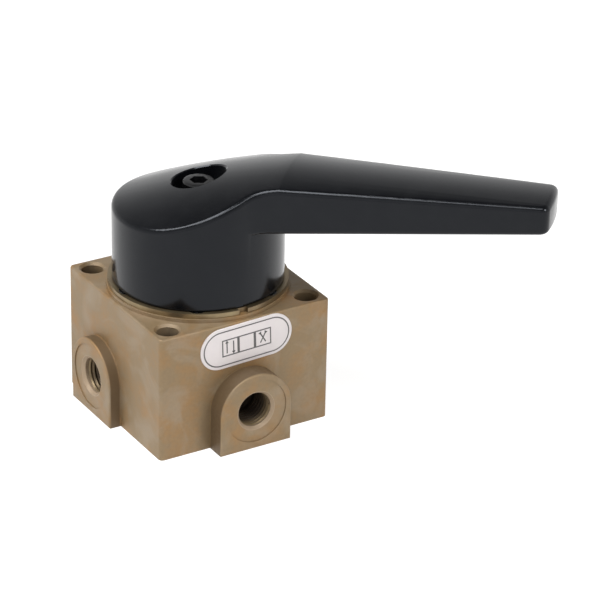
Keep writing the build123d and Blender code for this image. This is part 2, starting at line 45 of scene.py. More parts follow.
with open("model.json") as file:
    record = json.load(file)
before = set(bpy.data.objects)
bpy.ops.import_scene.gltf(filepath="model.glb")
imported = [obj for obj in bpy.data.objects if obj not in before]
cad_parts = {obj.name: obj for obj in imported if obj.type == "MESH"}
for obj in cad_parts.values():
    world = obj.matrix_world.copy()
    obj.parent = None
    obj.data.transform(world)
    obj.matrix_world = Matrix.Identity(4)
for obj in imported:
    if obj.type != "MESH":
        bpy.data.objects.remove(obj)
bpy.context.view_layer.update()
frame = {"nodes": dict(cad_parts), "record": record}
MM = 0.001
NEAR = 0.0001 * MM  # points closer than this are one
WELD = 0.001 * MM  # a coarser one, for points from the CAD and for picking a ring of points
UP = Vector((0, 0, 1))


def linear(hex_colour):
    """sRGB hex as linear RGBA."""
    parts = [int(hex_colour[i : i + 2], 16) / 255 for i in (1, 3, 5)]
    return [p / 12.92 if p <= 0.04045 else ((p + 0.055) / 1.055) ** 2.4 for p in parts] + [1.0]


def mount(name):
    """Place, outward axis and sizes of one of the record's mounts, in metres."""
    for entry in frame["record"]["mounts"]:
        if entry["name"] == name:
            return Vector(entry["pos_m"]), Vector(entry["axis"]), entry["dims"]
    raise RuntimeError(f"the record has no mount named {name}")


# ---------------------------------------------------------------- settings


def length_field(name, description, millimetres):
    """A length property, given in millimetres."""
    return FloatProperty(
        name=name, description=description, default=millimetres * MM, unit="LENGTH", precision=5
    )


def angle_field(name, description, degrees):
    """An angle property, given in degrees."""
    return FloatProperty(
        name=name, description=description, default=math.radians(degrees), subtype="ANGLE"
    )


def number_field(name, description, number):
    """A plain number property."""
    return FloatProperty(name=name, description=description, default=number)


def colour_field(name, description, hex_colour):
    """A colour property, given as sRGB hex."""
    return FloatVectorProperty(
        name=name,
        description=description,
        default=linear(hex_colour)[:3],
        subtype="COLOR",
        size=3,
        min=0,
        max=1,
    )


def count_field(name, description, number, low, high):
    """A whole number property."""
    return IntProperty(name=name, description=description, default=number, min=low, max=high)


class ValvePortSettings(bpy.types.PropertyGroup):
    """Whitworth thread cut in the four ports."""

    pitch: length_field("Pitch", "Distance between two thread crests", 1.337)
    depth: length_field("Crest Height", "How far the crests stand into the bore", 0.34)
    root: length_field("Root", "How far the thread's root is sunk into the bore's wall", 0.02)
    crest_round: length_field("Crest Round", "Round on the crests and roots", 0.05)
    flank: number_field("Flank", "Half of the crest's foot, as a share of the pitch", 0.46)
    steps: count_field("Steps", "Segments in one turn of the thread", 64, 24, 128)


class ValveLabelSettings(bpy.types.PropertyGroup):
    """Printed foil label above the supply port."""

    tilt: angle_field("Tilt", "Turn of the label on its face, as it was stuck on", 2.2)
    edge_radius: length_field("Edge Round", "Round on the label's outer edge", 0.16)
    border_inset: length_field("Border Inset", "Label's edge to the printed border line", 0.95)
    line_width: length_field("Line Width", "Width of the printed lines", 0.42)
    ink_thickness: length_field("Ink Thickness", "How far the print stands out of the foil", 0.02)
    symbol: number_field("Symbol", "Height of the symbol, as a share of the label's", 0.42)


class ValveScrewSettings(bpy.types.PropertyGroup):
    """Socket head screw that clamps the handle."""

    flutes: count_field("Flutes", "Knurl flutes round the screw head", 36, 12, 72)
    flute_depth: length_field("Flute Depth", "Depth of the knurl", 0.14)
    socket_depth: length_field("Socket Depth", "Depth of the hexagon socket", 3.0)


class ValveFinishSettings(bpy.types.PropertyGroup):
    """Colours of the finishes."""

    casting: colour_field("Casting", "Colour of the body", "#8e795b")
    casting_tan: colour_field("Casting, Warm", "Warmer patches in the body's colour", "#9c774a")
    casting_grey: colour_field("Casting, Grey", "Greyer patches in the body's colour", "#9a8972")
    # painted shade: a darker colour for the pads' side walls, standing in for the shade in the step
    # beside the body's faces
    casting_wall_shade: colour_field("Casting, Walls", "As-cast walls round the ports' pads", "#6d5a42")
    handle: colour_field("Handle", "Colour of the moulded handle", "#0b0c0f")
    label: colour_field("Label", "Colour of the label's foil", "#ece5e4")


class ValveStageSettings(bpy.types.PropertyGroup):
    """Camera and lamps."""

    azimuth: angle_field("Azimuth", "Camera's direction round the valve", -31.58)
    elevation: angle_field("Elevation", "Camera's height above the horizon", 26.6)
    roll: angle_field("Roll", "Camera's turn about its own axis", 1.2)
    distance: length_field("Distance", "Camera to the valve", 973.8)
    aim_height: length_field("Aim Height", "Point on the axis that the framing starts from", 25.0)
    shift_right: length_field("Shift Right", "Framing's shift to the camera's right", 30.65)
    shift_up: length_field("Shift Up", "Framing's shift upwards", 10.57)
    lens: number_field("Lens", "Focal length in millimetres on a 36 mm sensor", 188.24)
    lamp_power: number_field("Lamp Power", "Watts that the lamps' shares are taken of", 11.0)
    sky_level: number_field("Sky Level", "Strength of the even light from all round", 0.18)


# ---------------------------------------------------------------- shared tools


def focus(*objects):
    """Leave edit mode and select only these objects."""
    if bpy.context.mode != "OBJECT":
        bpy.ops.object.mode_set(mode="OBJECT")
    bpy.ops.object.select_all(action="DESELECT")
    for obj in objects:
        obj.select_set(True)
    if objects:
        bpy.context.view_layer.objects.active = objects[-1]


def pick(mode, test):
    """In edit mode, select only the vertices, edges or faces that pass a test."""
    bpy.ops.mesh.select_mode(type=mode)
    bpy.ops.mesh.select_all(action="DESELECT")
    mesh = bmesh.from_edit_mesh(bpy.context.edit_object.data)
    parts = {"VERT": mesh.verts, "EDGE": mesh.edges, "FACE": mesh.faces}[mode]
    for part in parts:
        part.select_set(bool(test(part)))
    mesh.select_flush_mode()
    bmesh.update_edit_mesh(bpy.context.edit_object.data)


def close_up():
    """In edit mode, merge doubles and point all faces outwards."""
    bpy.ops.mesh.select_all(action="SELECT")
    bpy.ops.mesh.remove_doubles(threshold=NEAR)
    bpy.ops.mesh.normals_make_consistent(inside=False)


def settle(piece, name, body, material, turn=None, smooth=None):
    """Name a finished piece, put its place into its mesh, give it its finish, let it ride, and
    smooth its edges that are blunter than an angle in degrees."""
    focus(piece)
    if turn is not None:
        piece.data.transform(turn)
    bpy.ops.object.transform_apply(location=True, rotation=True, scale=True)
    piece.name = name
    piece.data.name = name
    piece.data.materials.clear()
    piece.data.materials.append(material)
    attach(piece, body)
    if smooth is not None:
        bpy.ops.object.shade_smooth_by_angle(angle=math.radians(smooth))


def facing(origin, axis, up):
    """Matrix that takes the XY plane to a plane at origin, with +Z along axis and +Y up."""
    across = up.cross(axis).normalized()
    rows = (across, axis.cross(across), axis)
    return Matrix.Translation(origin) @ Matrix([[r[i] for r in rows] for i in range(3)]).to_4x4()


def merged_copy(node):
    """A copy of a CAD node with its loose triangles joined, to carry smooth shading."""
    piece = bpy.data.objects.new(node + "_copy", frame["nodes"][node].data.copy())
    bpy.context.scene.collection.objects.link(piece)
    focus(piece)
    bpy.ops.object.mode_set(mode="EDIT")
    bpy.ops.mesh.select_all(action="SELECT")
    bpy.ops.mesh.customdata_custom_splitnormals_clear()
    bpy.ops.mesh.select_all(action="SELECT")
    bpy.ops.mesh.remove_doubles(threshold=WELD)
    bpy.ops.object.mode_set(mode="OBJECT")
    return piece


# ---------------------------------------------------------------- finishes


DEEP_SHADE_BROWN = "#453a2e"  # painted shade for bores and threads deep inside
WAVE_FACTOR = 20  # the wave texture's own factor on its coordinates


def blank(name):
    """A new node material with a Principled shader, and its tree and shader."""
    material = bpy.data.materials.new(name)
    material.use_nodes = True
    tree = material.node_tree
    shader = next(n for n in tree.nodes if n.type == "BSDF_PRINCIPLED")
    return material, tree, shader


def put(tree, kind, inputs=(), **settings):
    """Add a node, set its options, and set or link its inputs by name or number."""
    made = tree.nodes.new("ShaderNode" + kind)
    for name, value in settings.items():
        setattr(made, name, value)
    for socket, value in dict(inputs).items():
        if isinstance(value, bpy.types.NodeSocket):
            tree.links.new(value, made.inputs[socket])
        else:
            made.inputs[socket].default_value = value
    return made


def colour(values):
    """An RGBA value from a colour property or a hex string."""
    return linear(values) if isinstance(values, str) else [*values, 1.0]


def line_mask(tree, place, middle, across, radius):
    """1 within a radius of a line through middle; across keeps the two directions that count."""
    offset = put(tree, "VectorMath", {0: place, 1: middle}, operation="SUBTRACT")
    flat = put(tree, "VectorMath", {0: offset.outputs[0], 1: across}, operation="MULTIPLY")
    reach = put(tree, "VectorMath", {0: flat.outputs[0]}, operation="LENGTH")
    edge = {"From Min": radius, "From Max": radius + 0.12 * MM, "To Min": 1.0, "To Max": 0.0}
    return put(tree, "MapRange", {"Value": reach.outputs["Value"], **edge}).outputs[0]


def pad_wall_shade_mask(tree, place):
    """1 on the side walls of the ports' pads, where painted shade darkens them: beyond the body's
    faces, short of the pads' faces.
    """
    # the label lies on the body's front face
    half_side = -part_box("label_plate")[1].y
    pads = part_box("valve_body")[1]
    folded = put(tree, "VectorMath", {0: place}, operation="ABSOLUTE")
    split = put(tree, "SeparateXYZ", {0: folded.outputs[0]})
    masks = []
    for axis, face in (("X", pads.x), ("Y", pads.y)):
        reach = split.outputs[axis]
        root = {"From Min": half_side + 0.1 * MM, "From Max": half_side + 0.6 * MM}
        rim = {"From Min": face - 0.8 * MM, "From Max": face - 0.4 * MM, "To Min": 1.0, "To Max": 0.0}
        start = put(tree, "MapRange", {"Value": reach, **root}).outputs[0]
        end = put(tree, "MapRange", {"Value": reach, **rim}).outputs[0]
        masks.append(put(tree, "Math", {0: start, 1: end}, operation="MULTIPLY").outputs[0])
    return highest(tree, masks)


def bore_masks(tree, place):
    """Masks of the ports' lips and bores, lightened with a painted highlight, and of the painted
    shade that darkens a port or a bolt hole further in.
    """
    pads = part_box("valve_body")[1]
    bolts, _, spacing = mount("corner_bolts")
    corner = Vector((spacing["spacing_x_mm"], spacing["spacing_y_mm"], 0)) * MM / 2
    folded = put(tree, "VectorMath", {0: place}, operation="ABSOLUTE").outputs[0]
    split = put(tree, "SeparateXYZ", {0: folded})
    outlet, _, thread = mount("outlet_port_right")
    supply = mount("supply_port")[0]
    bare_lit_lip, deep = [], []
    for where, middle, across, radius, axis, mouth in (
        (place, outlet, (0, 1, 1), thread["r_mm"] + 0.9, "X", pads.x),
        (place, supply, (1, 0, 1), thread["r_mm"] + 0.9, "Y", pads.y),
        (folded, corner, (1, 1, 0), spacing["hole_r_mm"] + 0.1, "Z", bolts.z * 2),
    ):
        inside = line_mask(tree, where, middle, across, radius * MM)
        # painted shade: darker the further a point lies inside a port or bolt hole
        depth = {"From Min": mouth - 1.5 * MM, "From Max": mouth - 6 * MM}
        dark = put(tree, "MapRange", {"Value": split.outputs[axis], **depth}).outputs[0]
        deep.append(put(tree, "Math", {0: inside, 1: dark}, operation="MULTIPLY").outputs[0])
        # the ports' mouths: machined metal, lightened with a painted highlight for the light that
        # falls into them
        if axis != "Z":
            bare_lit_lip.append(inside)
    return highest(tree, bare_lit_lip), highest(tree, deep)


def highest(tree, masks):
    """The highest of several masks."""
    top = masks[0]
    for mask in masks[1:]:
        top = put(tree, "Math", {0: top, 1: mask}, operation="MAXIMUM").outputs[0]
    return top


def cast_bronze():
    """Bronze-brown enamel over a die casting: a matt coat with cloudy warm and grey patches,
    a fine orange peel and a faint metal sheen. The pads' side walls are darkened with painted
    shade, the ports' mouths are machined metal lightened with a painted highlight, and the bores
    and bolt holes are darkened further in with painted shade."""
    finish = bpy.context.scene.valve_finish
    material, tree, shader = blank("cast_bronze_enamel")
    place = put(tree, "TexCoord").outputs["Object"]
    # clouds about 9 mm across, smears about 15 mm, speckle about 1.2 mm, grain about 0.35 mm
    clouds = put(tree, "TexNoise", {"Vector": place, "Scale": 110.0, "Detail": 4.0, "Roughness": 0.6})
    smears = put(tree, "TexNoise", {"Vector": place, "Scale": 65.0, "Detail": 5.0, "Distortion": 1.4})
    speckle = put(tree, "TexNoise", {"Vector": place, "Scale": 800.0, "Detail": 3.0})
    grain = put(tree, "TexNoise", {"Vector": place, "Scale": 2800.0, "Detail": 2.0})
    warm = put(
        tree,
        "MapRange",
        {"Value": clouds.outputs["Fac"], "From Min": 0.44, "From Max": 0.68, "To Max": 0.8},
    )
    grey = put(
        tree,
        "MapRange",
        {"Value": smears.outputs["Fac"], "From Min": 0.48, "From Max": 0.68, "To Max": 0.75},
    )
    base = put(
        tree,
        "Mix",
        {0: warm.outputs[0], 6: colour(finish.casting), 7: colour(finish.casting_tan)},
        data_type="RGBA",
    )
    cloudy = put(
        tree,
        "Mix",
        {0: grey.outputs[0], 6: base.outputs[2], 7: colour(finish.casting_grey)},
        data_type="RGBA",
    )
    flecks = {"Value": speckle.outputs["Fac"], "From Min": 0.3, "From Max": 0.7}
    shade = put(tree, "MapRange", {**flecks, "To Min": 0.93, "To Max": 1.06})
    flecked = put(
        tree, "VectorMath", {0: cloudy.outputs[2], 3: shade.outputs[0]}, operation="SCALE"
    )
    # painted shade: the pads' side walls are darkened towards their painted shade colour
    walls = pad_wall_shade_mask(tree, place)
    wall_shaded = put(
        tree,
        "Mix",
        {0: walls, 6: flecked.outputs[0], 7: colour(finish.casting_wall_shade)},
        data_type="RGBA",
    )
    bores, deep = bore_masks(tree, place)
    # machined metal at the ports' mouths, lightened with a painted highlight
    bare_lit_lip = put(
        tree, "Mix", {0: bores, 6: wall_shaded.outputs[2], 7: linear("#a8937a")}, data_type="RGBA"
    )
    # painted shade deep in the ports and bolt holes
    deep_shaded = put(
        tree, "Mix", {0: deep, 6: bare_lit_lip.outputs[2], 7: linear(DEEP_SHADE_BROWN)}, data_type="RGBA"
    )
    rough = put(tree, "MapRange", {**flecks, "To Min": 0.42, "To Max": 0.58})
    peel = put(
        tree,
        "Bump",
        {"Strength": 0.25, "Distance": 0.06 * MM, "Height": speckle.outputs["Fac"]},
    )
    fine = {"Strength": 0.2, "Distance": 0.02 * MM, "Height": grain.outputs["Fac"]}
    pores = put(tree, "Bump", {**fine, "Normal": peel.outputs[0]})
    tree.links.new(deep_shaded.outputs[2], shader.inputs["Base Color"])
    tree.links.new(rough.outputs[0], shader.inputs["Roughness"])
    tree.links.new(pores.outputs[0], shader.inputs["Normal"])
    shader.inputs["Metallic"].default_value = 0.3
    return material


def turned_metal(name, base_hex, light_hex, feed=0.35 * MM):
    """Metal turned on a lathe: fine rings about the valve's axis, over a colour that is worn
    lighter in patches."""
    material, tree, shader = blank(name)
    place = put(tree, "TexCoord").outputs["Object"]
    # one ring to each feed of the tool
    scale = 2 * math.pi / (WAVE_FACTOR * feed)
    rings = put(
        tree,
        "TexWave",
        {"Vector": place, "Scale": scale, "Distortion": 0.6, "Detail": 2.0},
        wave_type="RINGS",
        rings_direction="Z",
    )
    # worn patches about 6 mm across
    wear_and_shade_noise = put(tree, "TexNoise", {"Vector": place, "Scale": 160.0, "Detail": 4.0})
    worn = put(tree, "MapRange", {"Value": wear_and_shade_noise.outputs["Fac"], "From Min": 0.35, "From Max": 0.7})
    base = put(
        tree,
        "Mix",
        {0: worn.outputs[0], 6: linear(base_hex), 7: linear(light_hex)},
        data_type="RGBA",
    )
    rough = put(
        tree,
        "MapRange",
        {"Value": rings.outputs["Fac"], "To Min": 0.3, "To Max": 0.46},
    )
    cut = put(
        tree, "Bump", {"Strength": 0.35, "Distance": 0.02 * MM, "Height": rings.outputs["Fac"]}
    )
    tree.links.new(base.outputs[2], shader.inputs["Base Color"])
    tree.links.new(rough.outputs[0], shader.inputs["Roughness"])
    tree.links.new(cut.outputs[0], shader.inputs["Normal"])
    shader.inputs["Metallic"].default_value = 0.85
    return material


def cut_thread(name, axis, mouth):
    """Bronze threads cut with a tap: bronze-coloured at the mouth, darkened further in with painted
    shade.
    """
    material, tree, shader = blank(name)
    place = put(tree, "TexCoord").outputs["Object"]
    folded = put(tree, "VectorMath", {0: place}, operation="ABSOLUTE").outputs[0]
    reach = put(tree, "SeparateXYZ", {0: folded}).outputs[axis]
    # uneven edge of the painted shade about 3 mm across, tool marks about 0.3 mm
    wear_and_shade_noise = put(tree, "TexNoise", {"Vector": place, "Scale": 330.0, "Detail": 3.0})
    marks = put(tree, "TexNoise", {"Vector": place, "Scale": 3000.0, "Detail": 2.0})
    uneven = put(
        tree, "Math", {0: wear_and_shade_noise.outputs["Fac"], 1: 3 * MM, 2: reach}, operation="MULTIPLY_ADD"
    )
    # painted shade: the threads darken from the mouth inwards
    depth = {"From Min": mouth + 0.5 * MM, "From Max": mouth - 4.5 * MM}
    dark = put(tree, "MapRange", {"Value": uneven.outputs[0], **depth})
    base = put(
        tree,
        "Mix",
        {0: dark.outputs[0], 6: linear("#93805f"), 7: linear(DEEP_SHADE_BROWN)},
        data_type="RGBA",
    )
    relief = put(
        tree, "Bump", {"Strength": 0.3, "Distance": 0.01 * MM, "Height": marks.outputs["Fac"]}
    )
    tree.links.new(base.outputs[2], shader.inputs["Base Color"])
    tree.links.new(relief.outputs[0], shader.inputs["Normal"])
    shader.inputs["Roughness"].default_value = 0.45
    shader.inputs["Metallic"].default_value = 0.5
    return material


def moulded_black():
    """Glossy black moulded nylon: deep black with a sharp reflection, long shallow sink waves
    that make it swim, a faint mould texture and a little handling haze."""
    finish = bpy.context.scene.valve_finish
    material, tree, shader = blank("moulded_black_nylon")
    place = put(tree, "TexCoord").outputs["Object"]
    # sink waves about 12 mm, mould grain about 0.5 mm, haze about 6 mm
    waves = put(tree, "TexNoise", {"Vector": place, "Scale": 85.0, "Detail": 1.0})
    grain = put(tree, "TexNoise", {"Vector": place, "Scale": 2000.0, "Detail": 2.0})
    haze = put(tree, "TexNoise", {"Vector": place, "Scale": 170.0, "Detail": 4.0, "Roughness": 0.6})
    gloss = {"From Min": 0.3, "From Max": 0.7, "To Min": 0.13, "To Max": 0.2}
    rough = put(tree, "MapRange", {"Value": haze.outputs["Fac"], **gloss})
    hazy = put(
        tree,
        "MapRange",
        {"Value": haze.outputs["Fac"], "From Min": 0.45, "From Max": 0.8, "To Max": 0.4},
    )
    base = put(
        tree,
        "Mix",
        {0: hazy.outputs[0], 6: colour(finish.handle), 7: linear("#18191b")},
        data_type="RGBA",
    )
    flow = put(
        tree, "Bump", {"Strength": 0.2, "Distance": 0.1 * MM, "Height": waves.outputs["Fac"]}
    )
    fine = {"Strength": 0.12, "Distance": 0.008 * MM, "Height": grain.outputs["Fac"]}
    skin = put(tree, "Bump", {**fine, "Normal": flow.outputs[0]})
    tree.links.new(base.outputs[2], shader.inputs["Base Color"])
    tree.links.new(rough.outputs[0], shader.inputs["Roughness"])
    tree.links.new(skin.outputs[0], shader.inputs["Normal"])
    shader.inputs["Specular IOR Level"].default_value = 0.27
    shader.inputs["Specular Tint"].default_value = linear("#eef3fc")
    shader.inputs["Sheen Weight"].default_value = 0.03
    shader.inputs["Sheen Roughness"].default_value = 0.4
    return material


def foil_label():
    """White printed polyester foil: satin, slightly uneven where the adhesive lies under it."""
    finish = bpy.context.scene.valve_finish
    material, tree, shader = blank("white_polyester_foil")
    place = put(tree, "TexCoord").outputs["Object"]
    # adhesive waves about 4 mm, foil grain about 0.4 mm
    waves = put(tree, "TexNoise", {"Vector": place, "Scale": 250.0, "Detail": 2.0})
    grain = put(tree, "TexNoise", {"Vector": place, "Scale": 2500.0, "Detail": 2.0})
    base = put(
        tree,
        "Mix",
        {0: waves.outputs["Fac"], 6: colour(finish.label), 7: linear("#e2dbdc")},
        data_type="RGBA",
    )
    rough = put(
        tree, "MapRange", {"Value": grain.outputs["Fac"], "To Min": 0.38, "To Max": 0.52}
    )
    lie = put(
        tree, "Bump", {"Strength": 0.25, "Distance": 0.05 * MM, "Height": waves.outputs["Fac"]}
    )
    tree.links.new(base.outputs[2], shader.inputs["Base Color"])
    tree.links.new(rough.outputs[0], shader.inputs["Roughness"])
    tree.links.new(lie.outputs[0], shader.inputs["Normal"])
    return material


def grey_ink():
    """Screen-printed grey ink: matt, a little thin and mottled."""
    material, tree, shader = blank("screen_print_grey_ink")
    place = put(tree, "TexCoord").outputs["Object"]
    # mottle about 0.6 mm across
    mottle = put(tree, "TexNoise", {"Vector": place, "Scale": 1600.0, "Detail": 3.0})
    base = put(
        tree,
        "Mix",
        {0: mottle.outputs["Fac"], 6: linear("#4f4d4c"), 7: linear("#6f6c6b")},
        data_type="RGBA",
    )
    tree.links.new(base.outputs[2], shader.inputs["Base Color"])
    shader.inputs["Roughness"].default_value = 0.6
    return material


def grained(name, dark_hex, light_hex, rough_low, rough_high, metallic=1.0):
    """A plain metal, rubber or plastic: cloudy in colour and roughness, with a fine grain."""
    material, tree, shader = blank(name)
    place = put(tree, "TexCoord").outputs["Object"]
    # grain about 1.1 mm across
    grain = put(tree, "TexNoise", {"Vector": place, "Scale": 900.0, "Detail": 4.0})
    base = put(
        tree,
        "Mix",
        {0: grain.outputs["Fac"], 6: linear(dark_hex), 7: linear(light_hex)},
        data_type="RGBA",
    )
    rough = put(
        tree,
        "MapRange",
        {
            "Value": grain.outputs["Fac"],
            "From Min": 0.3,
            "From Max": 0.7,
            "To Min": rough_low,
            "To Max": rough_high,
        },
    )
    relief = put(
        tree, "Bump", {"Strength": 0.3, "Distance": 0.01 * MM, "Height": grain.outputs["Fac"]}
    )
    tree.links.new(base.outputs[2], shader.inputs["Base Color"])
    tree.links.new(rough.outputs[0], shader.inputs["Roughness"])
    tree.links.new(relief.outputs[0], shader.inputs["Normal"])
    shader.inputs["Metallic"].default_value = metallic
    return material


def finish_for(slot):
    """The finish for one of the record's material slots, made once."""
    kept = bpy.context.scene.get("valve_finishes") or {}
    if slot in kept:
        return bpy.data.materials[kept[slot]]
    makers = {
        "bronze_casting": cast_bronze,
        "bronze_cover": lambda: turned_metal("turned_bronze_cover", "#7d6c54", "#968768"),
        "black_handle": moulded_black,
        "label_white": foil_label,
        "black_oxide_steel": lambda: grained(
            "black_oxide_steel", "#08080a", "#121214", 0.3, 0.46, 0.3
        ),
        "bright_steel": lambda: grained("ground_bright_steel", "#9b9b9a", "#bdbcba", 0.18, 0.32),
        "spring_steel": lambda: grained("drawn_spring_steel", "#6e6e70", "#8b8b8c", 0.25, 0.4),
        "stainless_stem": lambda: turned_metal(
            "turned_stainless_stem", "#8d8f90", "#b4b5b5", 0.3 * MM
        ),
        "lapped_disc": lambda: grained("lapped_sintered_disc", "#77706a", "#8d8780", 0.2, 0.3),
        "lapped_seat": lambda: grained("lapped_hard_seat", "#83807c", "#a09d98", 0.16, 0.26),
        "seal_rubber": lambda: grained(
            "moulded_nitrile_rubber", "#131314", "#1f1f20", 0.5, 0.7, 0.0
        ),
        "washer_plastic": lambda: grained(
            "filled_acetal_washer", "#cfc9b8", "#dcd7c8", 0.35, 0.5, 0.0
        ),
        "bush_bronze": lambda: grained("sintered_bronze_bush", "#6f5431", "#8f6c3c", 0.35, 0.5),
    }
    made = makers[slot]()
    kept = dict(kept)
    kept[slot] = made.name
    bpy.context.scene["valve_finishes"] = kept
    return made


def slot_of(node):
    """Name of the record's material slot that a CAD node uses."""
    return next(p["material_slot"] for p in frame["record"]["subparts"] if p["node"] == node)


# ---------------------------------------------------------------- pieces


class VALVE_OT_inner_parts(bpy.types.Operator):
    """Give every CAD node its finish"""

    bl_idname = "valve.inner_parts"
    bl_label = "Finish the CAD Nodes"

    def execute(self, context):
        for name, node in frame["nodes"].items():
            node.data.materials.clear()
            # the washer deep in the handle's recess is blackened like its screw
            slot = "black_oxide_steel" if name == "handle_washer" else slot_of(name)
            node.data.materials.append(finish_for(slot))
        return {"FINISHED"}


class VALVE_OT_smooth_shells(bpy.types.Operator):
    """Make the body, cover and handle from their CAD shapes with smooth shading"""

    bl_idname = "valve.smooth_shells"
    bl_label = "Body, Cover and Handle"

    def execute(self, context):
        for node, name, body in (
            ("valve_body", "body_casting", "valve"),
            ("cover", "cover_turned", "valve"),
            ("handle", "handle_moulding", "lever"),
        ):
            piece = merged_copy(node)
            settle(piece, name, body, finish_for(slot_of(node)), smooth=32)
            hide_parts(node)
        return {"FINISHED"}


class VALVE_OT_port_threads(bpy.types.Operator):
    """Cut look of the pipe thread in the four ports"""

    bl_idname = "valve.port_threads"
    bl_label = "Port Threads"

    def execute(self, context):
        made = context.scene.valve_ports
        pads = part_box("valve_body")[1]
        across = cut_thread("tapped_bronze_outlets", "X", pads.x)
        along = cut_thread("tapped_bronze_lines", "Y", pads.y)
        for port in ("supply_port", "exhaust_port", "outlet_port_left", "outlet_port_right"):
            middle, axis, dims = mount(port)
            bore = dims["r_mm"] * MM
            length = dims["length_mm"] * MM
            turns = int(length / made.pitch - 1)
            half = made.pitch * made.flank
            root = bore + made.root
            focus()
            # a triangle stands for the crest's section, its root sunk into the bore's wall
            bpy.ops.mesh.primitive_circle_add(vertices=3, radius=made.depth, fill_type="NGON")
            crest = context.active_object
            corners = [(root, 0, -half), (root, 0, half), (bore - made.depth, 0, 0)]
            for vertex, corner in zip(crest.data.vertices, corners):
                vertex.co = corner
            bpy.ops.object.mode_set(mode="EDIT")
            bpy.ops.mesh.select_mode(type="EDGE")
            bpy.ops.mesh.select_all(action="SELECT")
            bpy.ops.mesh.bevel(offset=made.crest_round, segments=2, affect="VERTICES")
            bpy.ops.mesh.select_all(action="SELECT")
            bpy.ops.mesh.delete(type="ONLY_FACE")
            bpy.ops.object.mode_set(mode="OBJECT")
            screw = crest.modifiers.new("thread", "SCREW")
            screw.axis = "Z"
            screw.angle = 2 * math.pi
            screw.screw_offset = made.pitch
            screw.iterations = turns
            screw.steps = made.steps
            screw.render_steps = made.steps
            screw.use_smooth_shade = False
            bpy.ops.object.modifier_apply(modifier=screw.name)
            bpy.ops.object.mode_set(mode="EDIT")
            # cap the two ends of the helix
            bpy.ops.mesh.select_mode(type="EDGE")
            bpy.ops.mesh.select_all(action="DESELECT")
            bpy.ops.mesh.select_non_manifold()
            bpy.ops.mesh.edge_face_add()
            close_up()
            bpy.ops.object.mode_set(mode="OBJECT")
            start = middle - axis * (length / 2 - half)
            settle(
                crest,
                port + "_thread",
                "valve",
                across if abs(axis.x) > 0.5 else along,
                facing(start, axis, UP),
                smooth=30,
            )
        return {"FINISHED"}


class VALVE_OT_label(bpy.types.Operator):
    """Foil label with a printed border line and the plain symbol of a three-position valve"""

    bl_idname = "valve.label"
    bl_label = "Label"

    def slot_shape(self, length, height):
        """Start a filled slot outline in edit mode: a circle pulled apart at its middle."""
        points = 96
        focus()
        # half a step round, so that no point lies on the line where the halves part
        bpy.ops.mesh.primitive_circle_add(
            vertices=points, radius=height / 2, fill_type="NGON", rotation=(0, 0, math.pi / points)
        )
        piece = bpy.context.active_object
        bpy.ops.object.transform_apply(location=False, rotation=True, scale=False)
        bpy.ops.object.mode_set(mode="EDIT")
        for side in (1, -1):
            pick("VERT", lambda v: v.co.x * side > 0)
            bpy.ops.transform.translate(value=(side * (length - height) / 2, 0, 0))
        bpy.ops.mesh.select_all(action="SELECT")
        return piece

    def thicken(self, depth):
        """Give everything in edit mode a thickness."""
        bpy.ops.mesh.select_all(action="SELECT")
        bpy.ops.mesh.extrude_region_move(TRANSFORM_OT_translate={"value": (0, 0, depth)})
        close_up()

    def execute(self, context):
        made = context.scene.valve_label
        low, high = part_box("label_plate")
        length, height, depth = high.x - low.x, high.z - low.z, high.y - low.y
        centre = (low + high) / 2
        outwards = Vector((0, -1, 0))
        place = facing(Vector((centre.x, high.y, centre.z)), outwards, UP)
        # stuck on by hand, a little off level
        place = place @ Matrix.Rotation(made.tilt, 4, "Z")
        on_top = place @ Matrix.Translation((0, 0, depth - made.ink_thickness / 2))

        card = self.slot_shape(length, height)
        bpy.ops.mesh.extrude_region_move(TRANSFORM_OT_translate={"value": (0, 0, depth)})
        pick("EDGE", lambda e: all(abs(v.co.z - depth) < NEAR for v in e.verts))
        bpy.ops.mesh.bevel(offset=made.edge_radius, segments=3, affect="EDGES")
        close_up()
        foil = finish_for("label_white")
        settle(card, "label_card", "valve", foil, place, smooth=40)
        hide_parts("label_plate")

        ink = grey_ink()
        inset = 2 * made.border_inset
        border = self.slot_shape(length - inset, height - inset)
        bpy.ops.mesh.inset(thickness=made.line_width)
        bpy.ops.mesh.delete(type="FACE")
        self.thicken(made.ink_thickness)
        settle(border, "label_border", "valve", ink, on_top)

        # three squares in a row, with the flow arrows of the two outer positions
        square = height * made.symbol
        arrow = square * 0.66
        tip = made.line_width * 1.7
        focus()
        bpy.ops.mesh.primitive_plane_add(size=square)
        symbol = context.active_object
        bpy.ops.object.mode_set(mode="EDIT")
        for step in (-1, 0, 1):
            if step != -1:
                bpy.ops.mesh.primitive_plane_add(size=square, location=((step + 1) * square, 0, 0))
            bpy.ops.mesh.inset(thickness=made.line_width)
            bpy.ops.mesh.delete(type="FACE")
        bpy.ops.mesh.select_all(action="SELECT")
        bpy.ops.transform.translate(value=(-square, 0, 0))
        # two upright arrows side by side in the left square, two crossed ones in the right
        for x, turn in (
            (-square * 1.2, 0.0),
            (-square * 0.8, math.pi),
            (square, math.radians(30)),
            (square, math.radians(-30)),
        ):
            bpy.ops.mesh.primitive_plane_add(size=made.line_width, location=(x, 0, 0))
            stretch = (1, arrow / made.line_width, 1)
            bpy.ops.transform.resize(value=stretch, center_override=(x, 0, 0))
            bpy.ops.transform.rotate(value=turn, orient_axis="Z", center_override=(x, 0, 0))
            end = Vector((-math.sin(turn), math.cos(turn), 0)) * arrow / 2 + Vector((x, 0, 0))
            bpy.ops.mesh.primitive_circle_add(vertices=3, radius=tip, fill_type="NGON", location=end)
            bpy.ops.transform.rotate(value=turn, orient_axis="Z", center_override=end)
        self.thicken(made.ink_thickness)
        settle(symbol, "label_symbol", "valve", ink, on_top)
        return {"FINISHED"}


